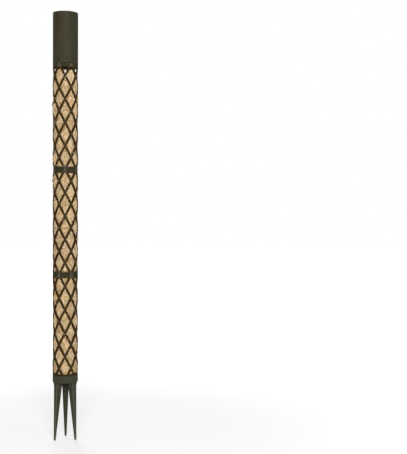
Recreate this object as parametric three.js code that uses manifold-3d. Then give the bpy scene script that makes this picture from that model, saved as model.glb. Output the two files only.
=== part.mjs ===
// A modular moss pole for a climbing pot plant. A three-pronged stake holds a stack of lattice tubes packed
// with moss, a film guard lies behind the moss of each tube, and a watering cup plugs into the top.
// Millimetres, +Z up. The origin is on the pole's axis at the soil line, under the stake's collar, and -Y is
// the front.
import * as THREE from "three";
import { mergeVertices } from "three/addons/utils/BufferGeometryUtils.js";
import Module from "manifold-3d";

const wasm = await Module();
wasm.setup();

// Driving dimensions of the lattice tubes
const TUBE_DIAMETER = 48; // over the strands
const MODULE_LENGTH = 200; // from one joint level to the next
const STRANDS_EACH_WAY = 6; // strands winding to the right, and as many to the left
const WINDOW_ROWS = 9; // strand crossings passed from one joint level to the next
const STRAND_WIDTH = 3.8;
const STRAND_DEPTH = 2.6; // radial
const BAND_RECESS = 0.8; // the closed bands lie this far behind the strands that cross them

// Driving dimensions of the joints between the modules
const SOCKET_BELOW = 6; // a tube's upper band reaches this far below its joint level
const SOCKET_ABOVE = 2; // and its rim stands this far above that level
const FLANGE_HEIGHT = 2; // ring on a tube's foot that rests on the rim below
const SPIGOT_WALL = 1.7;
const CLEARANCE = 0.3; // between every two pieces that touch

// Driving dimensions of the filling
const GUARD_THICKNESS = 0.8;
const GUARD_WRAP = 120; // degrees of the back that a guard covers
const MOSS_SINK = 0.8; // the moss in a window stays this far behind the strands' outer face
const MOSS_MARGIN = 0.7; // and this far from the window's edges
const MOSS_HEADROOM = 5; // free height between the topmost moss and the watering cup

// Driving dimensions of the watering cup
const CUP_HEIGHT = 100; // from its joint level to its rim
const CUP_WALL = 2;
const CUP_FLOOR = 2;
const CUP_RELIEF = 6.5; // height of the strand relief around its foot
const CUP_TAPER = 3; // height over which the bore narrows to the spigot
const DRIP_HOLES = 6; // on a circle, with one more in the middle
const DRIP_HOLE_DIAMETER = 3;
const DRIP_CIRCLE_DIAMETER = 20;

// Driving dimensions of the stake
const COLLAR_HEIGHT = 14.6;
const COLLAR_CHAMFER = 1.5;
const FIRST_LEVEL = 7; // the lowest joint level above the soil line
const STAKE_FLOOR = 2;
const DRAIN_DIAMETER = 16;
const PRONGS = 3;
const PRONG_LENGTH = 109;
const PRONG_INSET = 2.9; // its outer face at the root lies this far inside the collar's round
const PRONG_SPLAY = 2.7; // and its tip stands this far out from there
const PRONG_WIDTH = 13.4; // at its root, along the collar
const PRONG_DEPTH = 11.4; // at its root, radial
const PRONG_TIP_WIDTH = 3.6;
const PRONG_TIP_DEPTH = 2.4;
const PRONG_FLARE = 1; // the root widens by this much outwards and to each side
const PRONG_FLARE_HEIGHT = 6; // within this height under the collar

// Fineness of the round faces
const FACETS = 24;
const HOLE_FACETS = 12;
const SLIVER = 0.02; // the cuts' edges closer together than this are merged

// Sizes that follow from the driving dimensions
const tubeRadius = TUBE_DIAMETER / 2;
const boreRadius = tubeRadius - STRAND_DEPTH;
const spigotRadius = boreRadius - CLEARANCE;
const spigotBore = spigotRadius - SPIGOT_WALL;
const guardRadius = boreRadius - CLEARANCE;
const mossRadius = guardRadius - GUARD_THICKNESS - CLEARANCE;
const columnAngle = Math.PI / STRANDS_EACH_WAY;
const rowHeight = MODULE_LENGTH / WINDOW_ROWS;
const twist = WINDOW_ROWS * columnAngle; // turn of the strands from one joint level to the next
const columnArc = tubeRadius * columnAngle;
const lean = Math.atan2(columnArc, rowHeight); // of a strand, from the pole's axis
const backAzimuth = Math.PI / 2;
const frontAzimuth = -Math.PI / 2;
const past = 1; // how far a cutter runs past the face that it cuts

// Solids

function solidOf(geometry) {
  geometry.deleteAttribute("normal");
  geometry.deleteAttribute("uv");
  const merged = mergeVertices(geometry, 1e-4);
  const mesh = new wasm.Mesh({
    numProp: 3,
    vertProperties: new Float32Array(merged.attributes.position.array),
    triVerts: new Uint32Array(merged.index.array),
  });
  return new wasm.Manifold(mesh);
}

function geometryOf(solid) {
  const mesh = solid.asOriginal().simplify(SLIVER).getMesh();
  const geometry = new THREE.BufferGeometry();
  geometry.setAttribute("position", new THREE.BufferAttribute(new Float32Array(mesh.vertProperties), 3));
  geometry.setIndex(new THREE.BufferAttribute(new Uint32Array(mesh.triVerts), 1));
  geometry.computeVertexNormals();
  return geometry;
}

function joined(solids) {
  return solids.reduce((sum, solid) => sum.add(solid));
}

// A profile of [radius, height] points, listed anticlockwise, turned about the pole's axis.
function revolved(profile) {
  const points = profile.map(([radius, height]) => new THREE.Vector2(radius, height));
  const geometry = new THREE.LatheGeometry(points, FACETS);
  geometry.rotateX(Math.PI / 2);
  return solidOf(geometry);
}

function disc(radius, low, high) {
  return revolved([[0, low], [radius, low], [radius, high], [0, high]]);
}

function ring(inner, outer, low, high) {
  return revolved([[inner, low], [outer, low], [outer, high], [inner, high], [inner, low]]);
}

// The diamond windows between the strands

// Half the angle that a window spans around the pole, drawn in by a margin.
function windowHalfAngle(margin) {
  return columnAngle - (STRAND_WIDTH / 2 + margin) / Math.cos(lean) / tubeRadius;
}

// A wedge from the pole's axis outward whose four faces are the sides of one window, drawn in by a margin.
function windowWedge(row, azimuth, margin) {
  const halfAngle = windowHalfAngle(margin);
  const halfHeight = rowHeight - (STRAND_WIDTH / 2 + margin) / Math.sin(lean);
  const from = mossRadius - past;
  const to = tubeRadius + 2 * past;
  const wedge = new THREE.CylinderGeometry(to, from, to - from, 4);
  wedge.scale(Math.tan(halfAngle), 1, halfHeight / tubeRadius);
  wedge.translate(0, (from + to) / 2, 0);
  wedge.rotateZ(azimuth - Math.PI / 2);
  wedge.translate(0, 0, row * rowHeight);
  return solidOf(wedge);
}

// Every window from one row to another, in a tube that is turned about the axis; some sides can be left out.
function windows(firstRow, lastRow, turn, margin = 0, wanted = () => true) {
  const wedges = [];
  for (let row = firstRow; row <= lastRow; row += 1) {
    const parity = Math.abs(row + 1) % 2;
    for (let column = parity; column < 2 * STRANDS_EACH_WAY; column += 2) {
      const azimuth = frontAzimuth + turn + column * columnAngle;
      if (wanted(azimuth)) wedges.push(windowWedge(row, azimuth, margin));
    }
  }
  return joined(wedges);
}

// True for a window that lies wholly beside the guard.
function clearOfGuard(azimuth) {
  const away = Math.acos(THREE.MathUtils.clamp(Math.cos(azimuth - backAzimuth), -1, 1));
  return away > THREE.MathUtils.degToRad(GUARD_WRAP / 2) + windowHalfAngle(MOSS_MARGIN);
}

// Pieces, each with its own joint level at height zero

function stake() {
  const collar = revolved([
    [DRAIN_DIAMETER / 2, 0],
    [tubeRadius - COLLAR_CHAMFER, 0],
    [tubeRadius, COLLAR_CHAMFER],
    [tubeRadius, COLLAR_HEIGHT],
    [boreRadius, COLLAR_HEIGHT],
    [boreRadius, STAKE_FLOOR],
    [DRAIN_DIAMETER / 2, STAKE_FLOOR],
    [DRAIN_DIAMETER / 2, 0],
  ]);
  const prongs = [];
  for (let index = 0; index < PRONGS; index += 1) {
    prongs.push(prong((2 * Math.PI * index) / PRONGS));
  }
  return joined([collar, ...prongs]);
}

// One prong, turned from the back of the collar: its front view and its side view, each drawn out and crossed.
function prong(turn) {
  const root = (STAKE_FLOOR + COLLAR_CHAMFER) / 2; // within the collar's floor
  const rootFace = tubeRadius - PRONG_INSET;
  const tipFace = rootFace + PRONG_SPLAY;
  const tipRadius = PRONG_TIP_WIDTH / 2;
  const flareShare = PRONG_FLARE_HEIGHT / PRONG_LENGTH;
  const flareHalf = PRONG_WIDTH / 2 + PRONG_FLARE;
  const neckHalf = THREE.MathUtils.lerp(PRONG_WIDTH, PRONG_TIP_WIDTH, flareShare) / 2;
  const neckFace = THREE.MathUtils.lerp(rootFace, tipFace, flareShare);
  const front = new THREE.Shape();
  front.moveTo(flareHalf, root);
  front.lineTo(-flareHalf, root);
  front.lineTo(-flareHalf, 0);
  front.lineTo(-neckHalf, -PRONG_FLARE_HEIGHT);
  front.absarc(0, tipRadius - PRONG_LENGTH, tipRadius, Math.PI, 2 * Math.PI, false);
  front.lineTo(neckHalf, -PRONG_FLARE_HEIGHT);
  front.lineTo(flareHalf, 0);
  front.closePath();
  const reach = tipFace + PRONG_FLARE + past;
  const across = new THREE.ExtrudeGeometry(front, { depth: reach, bevelEnabled: false, curveSegments: 6 });
  across.rotateX(Math.PI / 2);
  across.translate(0, reach, 0);
  across.rotateZ(turn);

  const side = new THREE.Shape();
  side.moveTo(rootFace + PRONG_FLARE, root);
  side.lineTo(rootFace - PRONG_DEPTH, root);
  side.lineTo(rootFace - PRONG_DEPTH, 0);
  side.lineTo(tipFace - PRONG_TIP_DEPTH, -PRONG_LENGTH - past);
  side.lineTo(tipFace, -PRONG_LENGTH - past);
  side.lineTo(neckFace, -PRONG_FLARE_HEIGHT);
  side.lineTo(rootFace + PRONG_FLARE, 0);
  side.closePath();
  const along = new THREE.ExtrudeGeometry(side, { depth: 2 * PRONG_WIDTH, bevelEnabled: false });
  along.rotateX(Math.PI / 2);
  along.rotateZ(Math.PI / 2);
  along.translate(-PRONG_WIDTH, 0, 0);
  along.rotateZ(turn);

  return solidOf(across).intersect(solidOf(along));
}

// Heights of a tube's foot above its own joint level, from the rim and the floor that it stands over.
function footOn(rim, floor) {
  const flange = rim + CLEARANCE;
  return { spigot: floor + CLEARANCE, flange, open: flange + FLANGE_HEIGHT };
}

function tube(foot, turn) {
  const rim = MODULE_LENGTH + SOCKET_ABOVE;
  const body = revolved([
    [spigotBore, foot.spigot],
    [spigotRadius, foot.spigot],
    [spigotRadius, foot.flange],
    [tubeRadius, foot.flange],
    [tubeRadius, rim],
    [boreRadius, rim],
    [boreRadius, foot.open],
    [spigotBore, foot.open],
    [spigotBore, foot.spigot],
  ]);
  const cuts = windows(-1, WINDOW_ROWS + 1, turn);
  const lattice = disc(tubeRadius + 3 * past, foot.open, MODULE_LENGTH - SOCKET_BELOW);
  const shell = [tubeRadius - BAND_RECESS, tubeRadius + 3 * past];
  const lowBand = ring(...shell, foot.flange - past, foot.open);
  const highBand = ring(...shell, MODULE_LENGTH - SOCKET_BELOW, rim + past);
  return body
    .subtract(cuts.intersect(lattice))
    .subtract(cuts.intersect(lowBand))
    .subtract(cuts.intersect(highBand));
}

// Moss fills a tube from its spigot up, and swells into the windows that the guard leaves free.
function moss(foot, top, turn) {
  const column = revolved([
    [0, foot.spigot],
    [spigotBore - CLEARANCE, foot.spigot],
    [spigotBore - CLEARANCE, foot.open + CLEARANCE],
    [mossRadius, foot.open + CLEARANCE],
    [mossRadius, top],
    [0, top],
  ]);
  const swell = ring(mossRadius - past / 2, tubeRadius - MOSS_SINK, foot.open + MOSS_MARGIN, top - MOSS_MARGIN);
  return column.add(windows(0, WINDOW_ROWS, turn, MOSS_MARGIN, clearOfGuard).intersect(swell));
}

function guard(foot, top) {
  const half = THREE.MathUtils.degToRad(GUARD_WRAP / 2);
  const sector = new THREE.Shape();
  sector.absarc(0, 0, guardRadius, backAzimuth - half, backAzimuth + half, false);
  sector.absarc(0, 0, guardRadius - GUARD_THICKNESS, backAzimuth + half, backAzimuth - half, true);
  sector.closePath();
  const low = foot.open + CLEARANCE;
  const steps = Math.round((FACETS * GUARD_WRAP) / 360);
  const sheet = new THREE.ExtrudeGeometry(sector, { depth: top - low, bevelEnabled: false, curveSegments: steps });
  sheet.translate(0, 0, low);
  return solidOf(sheet);
}

function cup(foot, turn) {
  const floor = foot.spigot + CUP_FLOOR;
  const inner = tubeRadius - CUP_WALL;
  const body = revolved([
    [0, foot.spigot],
    [spigotRadius, foot.spigot],
    [spigotRadius, foot.flange],
    [tubeRadius, foot.flange],
    [tubeRadius, CUP_HEIGHT],
    [inner, CUP_HEIGHT],
    [inner, foot.open + CUP_TAPER],
    [spigotBore, foot.open],
    [spigotBore, floor],
    [0, floor],
  ]);
  const relief = foot.flange + CUP_RELIEF;
  const band = ring(tubeRadius - BAND_RECESS, tubeRadius + 3 * past, foot.flange - past, relief);
  return body.subtract(dripHoles(foot.spigot)).subtract(windows(-1, 1, turn).intersect(band));
}

function dripHoles(low) {
  const holes = [dripHole(0, 0, low)];
  for (let index = 0; index < DRIP_HOLES; index += 1) {
    const angle = (2 * Math.PI * index) / DRIP_HOLES;
    const radius = DRIP_CIRCLE_DIAMETER / 2;
    holes.push(dripHole(radius * Math.cos(angle), radius * Math.sin(angle), low));
  }
  return joined(holes);
}

function dripHole(x, y, low) {
  const radius = DRIP_HOLE_DIAMETER / 2;
  const hole = new THREE.CylinderGeometry(radius, radius, CUP_FLOOR + 2 * past, HOLE_FACETS);
  hole.rotateX(Math.PI / 2);
  hole.translate(x, y, low + CUP_FLOOR / 2);
  return solidOf(hole);
}

// Finishes

const plastic = new THREE.MeshStandardMaterial({ color: 0x45402f, roughness: 0.55, metalness: 0 });
const sphagnum = new THREE.MeshStandardMaterial({ color: 0xcfb184, roughness: 0.95, metalness: 0 });
const film = new THREE.MeshStandardMaterial({ color: 0xdfe5df, roughness: 0.35, metalness: 0 });
film.transparent = true;
film.opacity = 0.35;

// The pole

function named(name, solid, material) {
  const mesh = new THREE.Mesh(geometryOf(solid), material);
  mesh.name = name;
  return mesh;
}

function level(name, index) {
  const group = new THREE.Group();
  group.name = name;
  group.position.z = FIRST_LEVEL + index * MODULE_LENGTH;
  return group;
}

const pole = new THREE.Group();
pole.name = "moss_pole";
pole.add(named("stake", stake(), plastic));

const footOnStake = footOn(COLLAR_HEIGHT - FIRST_LEVEL, STAKE_FLOOR - FIRST_LEVEL);
const footOnTube = footOn(SOCKET_ABOVE, -SOCKET_BELOW);
const tubeNames = ["lower", "middle", "upper"];
tubeNames.forEach((name, index) => {
  const foot = index === 0 ? footOnStake : footOnTube;
  const turn = index * twist;
  const fillTop = MODULE_LENGTH - SOCKET_BELOW;
  const mossTop = index === tubeNames.length - 1 ? fillTop - MOSS_HEADROOM : fillTop;
  const module = level(`module_${name}`, index);
  module.add(named(`tube_${name}`, tube(foot, turn), plastic));
  module.add(named(`moss_${name}`, moss(foot, mossTop, turn), sphagnum));
  module.add(named(`guard_${name}`, guard(foot, fillTop), film));
  pole.add(module);
});

const top = level("watering_aid", tubeNames.length);
top.add(named("watering_cup", cup(footOnTube, tubeNames.length * twist), plastic));
pole.add(top);

export default pole;
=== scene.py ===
"""Looks of a modular moss pole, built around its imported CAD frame.

A pronged stake carries three lattice tubes packed with dried moss. A clear film lies behind the moss of
each tube, and a watering cup plugs into the top. Everything is in metres, in the frame of the CAD: +Z up,
-Y to the front, and the origin on the pole's axis at the soil line.
"""

from __future__ import annotations

import logging
import math
import random
from dataclasses import dataclass, field, replace
from enum import Enum
from typing import Callable, Mapping, Sequence

import bpy
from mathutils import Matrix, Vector, noise

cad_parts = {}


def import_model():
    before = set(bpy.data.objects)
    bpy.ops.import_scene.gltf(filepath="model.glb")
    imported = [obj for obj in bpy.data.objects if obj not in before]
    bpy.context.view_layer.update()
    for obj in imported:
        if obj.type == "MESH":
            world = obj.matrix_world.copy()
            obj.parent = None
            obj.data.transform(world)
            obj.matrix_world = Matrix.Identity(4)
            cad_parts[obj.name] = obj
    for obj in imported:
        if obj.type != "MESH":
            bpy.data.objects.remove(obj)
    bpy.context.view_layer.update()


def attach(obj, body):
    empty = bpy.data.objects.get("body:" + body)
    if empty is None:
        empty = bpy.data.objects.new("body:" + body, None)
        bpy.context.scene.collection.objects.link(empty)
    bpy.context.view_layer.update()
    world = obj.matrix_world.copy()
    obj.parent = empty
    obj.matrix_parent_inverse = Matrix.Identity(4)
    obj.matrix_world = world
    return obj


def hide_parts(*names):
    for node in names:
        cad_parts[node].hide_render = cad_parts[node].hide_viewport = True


LOG = logging.getLogger("moss_pole")
TINT = "tint"

MM = 0.001
FRONT = -math.pi / 2
BACK = math.pi / 2
FULL_TURN = 2 * math.pi

RADIUS = 24.0 * MM
MODULE = 200.0 * MM
ROWS = 9
STRANDS_EACH_WAY = 6
FIRST_LEVEL = 7.0 * MM
PRONGS = 3
PRONG_LENGTH = 109.0 * MM
PRONG_REACH = 21.1 * MM
PRONG_SPLAY = 2.7 * MM
PRONG_WIDTH = 13.4 * MM
PRONG_TIP_WIDTH = 3.6 * MM

Colour = tuple[float, float, float]
Point = tuple[float, float, float]
Corner = tuple[float, float]
Span = tuple[float, float]


class Body(Enum):
    """CAD bodies that the pieces ride on."""

    BASE = "base"
    LOWER = "lower_module"
    MIDDLE = "middle_module"
    UPPER = "upper_module"
    TOP = "watering_aid"


class Slot(Enum):
    """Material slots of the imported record."""

    PLASTIC = "dark_plastic"
    MOSS = "sphagnum"
    FILM = "clear_film"


def srgb(red: int, green: int, blue: int) -> Colour:
    """Turn a colour as seen on screen into linear light.

    Args:
        red: Red from 0 to 255.
        green: Green from 0 to 255.
        blue: Blue from 0 to 255.

    Returns:
        The three linear values.
    """
    shares = (value / 255 for value in (red, green, blue))
    linear = [c / 12.92 if c <= 0.04045 else ((c + 0.055) / 1.055) ** 2.4 for c in shares]
    return linear[0], linear[1], linear[2]


def smooth(low: float, high: float, value: float) -> float:
    """Ease from 0 at low to 1 at high.

    Args:
        low: Value that gives 0.
        high: Value that gives 1.
        value: Value to ease.

    Returns:
        A share from 0 to 1.
    """
    share = min(1.0, max(0.0, (value - low) / (high - low)))
    return share * share * (3 - 2 * share)


@dataclass
class Wire:
    """A number on a shader socket; sums and products of wires add Math nodes."""

    sheet: ShaderSheet
    socket: bpy.types.NodeSocket

    def __add__(self, other: Wire | float) -> Wire:
        """Add."""
        return self.sheet.math("ADD", self, other)

    def __radd__(self, other: float) -> Wire:
        """Add to a number."""
        return self.sheet.math("ADD", other, self)

    def __sub__(self, other: Wire | float) -> Wire:
        """Subtract."""
        return self.sheet.math("SUBTRACT", self, other)

    def __rsub__(self, other: float) -> Wire:
        """Subtract from a number."""
        return self.sheet.math("SUBTRACT", other, self)

    def __mul__(self, other: Wire | float) -> Wire:
        """Multiply."""
        return self.sheet.math("MULTIPLY", self, other)

    def __rmul__(self, other: float) -> Wire:
        """Multiply a number."""
        return self.sheet.math("MULTIPLY", other, self)

    def __truediv__(self, other: Wire | float) -> Wire:
        """Divide."""
        return self.sheet.math("DIVIDE", self, other)

    def power(self, exponent: float) -> Wire:
        """Raise to a power."""
        return self.sheet.math("POWER", self, exponent)

    def sine(self) -> Wire:
        """Take the sine."""
        return self.sheet.math("SINE", self, 0.0)

    def ease(self, low: float, high: float) -> Wire:
        """Ease from 0 at low to 1 at high.

        Args:
            low: Value that gives 0.
            high: Value that gives 1.

        Returns:
            The eased share.
        """
        settings = {"interpolation_type": "SMOOTHSTEP"}
        sockets = {"Value": self, "From Min": low, "From Max": high}
        return self.sheet.node("ShaderNodeMapRange", settings, sockets)


class ShaderSheet:
    """The node tree of a material or of the world."""

    def __init__(self, tree: bpy.types.NodeTree, end: str = "ShaderNodeOutputMaterial") -> None:
        """Empty a node tree and give it an output.

        Args:
            tree: The node tree.
            end: Type of the output node.
        """
        self.tree = tree
        self.material: bpy.types.Material | None = None
        tree.nodes.clear()
        self.output = tree.nodes.new(end)
        self.place = self.node("ShaderNodeTexCoord", output="Object")

    @classmethod
    def of_material(cls, name: str) -> ShaderSheet:
        """Start a new material.

        Args:
            name: Name of the material.

        Returns:
            Its sheet.
        """
        material = bpy.data.materials.new(name)
        material.use_nodes = True
        sheet = cls(material.node_tree)
        sheet.material = material
        return sheet

    def node(
        self,
        kind: str,
        settings: Mapping[str, object] | None = None,
        sockets: Mapping[str | int, object] | None = None,
        output: str | int = 0,
    ) -> Wire:
        """Add a node, set it up and feed its sockets.

        Args:
            kind: Blender's name of the node type.
            settings: Properties of the node; "stops" are a ramp's places and colours.
            sockets: Values or wires of its inputs, by name or number.
            output: The output to return, by name or number.

        Returns:
            The chosen output.
        """
        node = self.tree.nodes.new(kind)
        for name, value in (settings or {}).items():
            if name == "stops":
                self._set_stops(node, value)
            else:
                setattr(node, name, value)
        for name, value in (sockets or {}).items():
            if isinstance(value, Wire):
                self.tree.links.new(value.socket, node.inputs[name])
            else:
                node.inputs[name].default_value = value
        return Wire(self, node.outputs[output])

    @staticmethod
    def _set_stops(node: bpy.types.Node, stops: Sequence[tuple[float, Colour]]) -> None:
        """Set a colour ramp's stops.

        Args:
            node: The ramp.
            stops: Each stop's place from 0 to 1 and its colour.
        """
        elements = node.color_ramp.elements
        while len(elements) < len(stops):
            elements.new(0.5)
        for element, (place, colour) in zip(elements, stops):
            element.position = place
            element.color = (*colour, 1.0)

    def math(self, operation: str, left: Wire | float, right: Wire | float) -> Wire:
        """Add a Math node.

        Args:
            operation: Blender's name of the operation.
            left: First value.
            right: Second value.

        Returns:
            The result.
        """
        return self.node("ShaderNodeMath", {"operation": operation}, {0: left, 1: right})

    def noise(self, size: float, detail: float = 3.0, place: Wire | None = None) -> Wire:
        """Add a noise pattern.

        Args:
            size: Size of one lump, in metres.
            detail: Number of finer layers.
            place: Coordinates, or None for the piece's own.

        Returns:
            The pattern's value, about 0.5 on average.
        """
        sockets = {"Vector": place or self.place, "Scale": 1.0 / size, "Detail": detail, "Roughness": 0.55}
        return self.node("ShaderNodeTexNoise", None, sockets, "Fac")

    def mix(self, share: Wire | float, first: Wire | Colour, second: Wire | Colour) -> Wire:
        """Mix two colours.

        Args:
            share: Share of the second colour.
            first: Colour at 0.
            second: Colour at 1.

        Returns:
            The mixed colour.
        """
        colours = [c if isinstance(c, Wire) else (*c, 1.0) for c in (first, second)]
        sockets = {"Factor": share, 6: colours[0], 7: colours[1]}
        return self.node("ShaderNodeMix", {"data_type": "RGBA"}, sockets, 2)

    def reach(self) -> Wire:
        """Give the distance of a point from the pole's axis."""
        level = {0: self.place, 1: (1.0, 1.0, 0.0)}
        flat = self.node("ShaderNodeVectorMath", {"operation": "MULTIPLY"}, level)
        return self.node("ShaderNodeVectorMath", {"operation": "LENGTH"}, {0: flat}, "Value")

    def azimuth(self) -> Wire:
        """Give the angle of a point about the pole's axis."""
        return self.math("ARCTAN2", self.axis("Y"), self.axis("X"))

    def axis(self, name: str) -> Wire:
        """Give one coordinate of a point."""
        return self.node("ShaderNodeSeparateXYZ", None, {"Vector": self.place}, name)

    def bump(self, relief: Wire, depth: float) -> Wire:
        """Turn a relief into a normal.

        Args:
            relief: Height from 0 to 1.
            depth: Depth of the relief, in metres.

        Returns:
            The bent normal.
        """
        sockets = {"Height": relief, "Distance": depth, "Strength": 1.0}
        return self.node("ShaderNodeBump", None, sockets, "Normal")

    def finish(self, sockets: Mapping[str, object]) -> bpy.types.Material:
        """Close the sheet with a Principled shader.

        Args:
            sockets: Values or wires of the shader's inputs.

        Returns:
            The finished material.
        """
        self.close(self.node("ShaderNodeBsdfPrincipled", None, sockets))
        return self.material

    def close(self, shader: Wire) -> None:
        """Link a shader to the sheet's output."""
        self.tree.links.new(shader.socket, self.output.inputs["Surface"])


@dataclass(frozen=True)
class PrintedPlastic:
    """Dark olive-brown plastic laid down in fine layers, with painted shade on its recessed bands and painted
    highlights on its strands.
    """

    name: str
    brown: Colour
    olive: Colour
    # Colour of the recessed bands behind the strands: painted shade in the recess.
    groove_shade: Colour | None = None
    joint: Colour | None = None
    # Pale colour of random wear patches and of painted highlights.
    wear_and_highlight: Colour = srgb(98, 93, 78)
    # Strength of the painted highlights at the strands' crossings, and their extra strength near the joints.
    crossing_highlight: float = 0.2
    joint_highlight: float = 0.35
    patches: float = 0.14
    gloss: float = 0.33
    streaks: float = 0.18
    # Strength of the painted highlight flecks on the bands.
    band_highlights: float = 0.32
    layer: float = 0.3 * MM
    relief: float = 0.03 * MM
    drawn_out: float = 0.16
    streak_size: float = 8 * MM
    cloud_size: float = 30 * MM
    grain_size: float = 0.8 * MM
    patch_size: float = 3 * MM
    band_highlight_size: float = 2.2 * MM
    joint_fray: float = 2.5 * MM
    crossing_fray: float = 2.0 * MM
    joint_reach: Span = (4.5 * MM, 8 * MM)

    def material(self) -> bpy.types.Material:
        """Build the shader.

        Returns:
            The material.
        """
        sheet = ShaderSheet.of_material(self.name)
        stretch = {"Vector": sheet.place, "Scale": (1.0, 1.0, self.drawn_out)}
        drawn = sheet.node("ShaderNodeMapping", None, stretch)
        streak = sheet.noise(self.streak_size, 3.0, drawn).ease(0.36, 0.64)
        grain = sheet.noise(self.grain_size, 2.0)
        cloud = sheet.noise(self.cloud_size, 3.0)
        side = (sheet.axis("X") / (2 * RADIUS) + 0.5) * 0.6 + streak * 0.4
        tone = sheet.mix(side, self.brown, self.olive)
        if self.joint:
            tone = sheet.mix(self._near_joint(sheet), tone, self.joint)
        # Painted shade: the recessed bands behind the strands take the groove colour.
        if self.groove_shade:
            band = self._in_groove(sheet)
            tone = sheet.mix(band, tone, self.groove_shade)
        value = 0.77 + cloud * 0.26 + grain * 0.18 + (streak - 0.5) * self.streaks
        shade = sheet.node("ShaderNodeHueSaturation", None, {"Color": tone, "Value": value})
        # Pale wear patches and painted highlights.
        colour = sheet.mix(self._wear_and_highlights(sheet, drawn), shade, self.wear_and_highlight)
        # Painted highlights: pale flecks spread by noise over the bands.
        if self.groove_shade:
            band_highlight = sheet.noise(self.band_highlight_size, 3.0).ease(0.52, 0.7) * self.band_highlights
            colour = sheet.mix(band * band_highlight, colour, self.wear_and_highlight)
        layers = (sheet.axis("Z") * (FULL_TURN / self.layer)).sine() * 0.5 + 0.5
        return sheet.finish(
            {
                "Base Color": colour,
                "Roughness": 0.58 + grain * 0.14 + streak * 0.06,
                "Normal": sheet.bump(layers * 0.6 + grain * 0.4, self.relief),
                "Specular IOR Level": self.gloss,
            }
        )

    @staticmethod
    def _in_groove(sheet: ShaderSheet) -> Wire:
        """Give 1 on the closed bands behind the strands, which take the painted shade and the painted
        highlight flecks, and 0 elsewhere.
        """
        reach = sheet.reach()
        band = reach.ease(RADIUS - 1.1 * MM, RADIUS - 0.95 * MM)
        return band * (1 - reach.ease(RADIUS - 0.65 * MM, RADIUS - 0.5 * MM))

    def _wear_and_highlights(self, sheet: ShaderSheet, drawn: Wire) -> Wire:
        """Give the share of the pale colour: random wear patches, and painted highlights at the strands'
        crossings.

        Args:
            sheet: The material's nodes.
            drawn: Coordinates drawn out along the pole.

        Returns:
            The share of the pale wear-and-highlight colour.
        """
        outermost = sheet.reach().ease(RADIUS - 1.0 * MM, RADIUS + 0.05 * MM)
        patchy = sheet.noise(self.patch_size, 3.0, drawn).ease(0.5, 0.78) * self.patches
        # Painted highlights at the strands' crossings, stronger near the joints.
        if self.joint:
            wear_and_highlight = self.crossing_highlight + self._near_joint(sheet) * self.joint_highlight
            patchy = patchy + self._at_crossings(sheet) * wear_and_highlight
        return outermost * patchy

    def _near_joint(self, sheet: ShaderSheet) -> Wire:
        """Give 1 at the level of a joint and 0 on the open lattice."""
        modules = (sheet.axis("Z") - FIRST_LEVEL) / MODULE
        away = sheet.math("PINGPONG", modules, 0.5) * MODULE
        ragged = (sheet.noise(self.joint_fray, 3.0) - 0.5) * (10 * MM)
        return 1 - (away + ragged).ease(*self.joint_reach)

    def _at_crossings(self, sheet: ShaderSheet) -> Wire:
        """Give 1 where two strands of the lattice cross and 0 between the crossings."""
        turn = sheet.azimuth() * (STRANDS_EACH_WAY / math.pi)
        up = (sheet.axis("Z") - FIRST_LEVEL) / (MODULE / ROWS)
        one, other = (((turn + up * way) * math.pi - math.pi / 2).sine() * 0.5 + 0.5 for way in (1, -1))
        ragged = (sheet.noise(self.crossing_fray, 3.0) - 0.5) * 0.7
        return (one * other + ragged).ease(0.45, 1.0)


@dataclass(frozen=True)
class StakePlastic(PrintedPlastic):
    """The same plastic with a painted highlight along the prongs' ridges, streaked like scratches."""

    scratch_size: float = 1.6 * MM
    # Strength of the painted highlight along the prongs' ridges, and of its scratch streaks.
    ridge_highlight: float = 0.5
    ridge_scratches: float = 0.3
    ridge_reach: Span = (0.4 * MM, 2.6 * MM)

    def _wear_and_highlights(self, sheet: ShaderSheet, drawn: Wire) -> Wire:
        """Give the share of the pale colour: a painted highlight along the prongs' ridges, streaked like
        scratches, over the plastic's own wear and highlights.

        Args:
            sheet: The material's nodes.
            drawn: Coordinates drawn out along the pole.

        Returns:
            The share of the pale wear-and-highlight colour.
        """
        fold = sheet.math("PINGPONG", sheet.azimuth() - BACK, math.pi / PRONGS)
        down = sheet.axis("Z") * (-1 / PRONG_LENGTH)
        reach = sheet.reach()
        half_width = PRONG_WIDTH / 2 - down * ((PRONG_WIDTH - PRONG_TIP_WIDTH) / 2)
        side = reach * fold.sine() - half_width
        out = reach * (fold + math.pi / 2).sine() - (PRONG_REACH + down * PRONG_SPLAY)
        corner = (side * side + out * out).power(0.5)
        scratch = sheet.noise(self.scratch_size, 3.0, drawn).ease(0.4, 0.7)
        # Painted highlight along the rounded ridges, faded out at the collar.
        ridge = (1 - corner.ease(*self.ridge_reach)) * down.ease(0.0, 0.04)
        return ridge * (self.ridge_highlight + scratch * self.ridge_scratches) + super()._wear_and_highlights(sheet, drawn)


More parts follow.
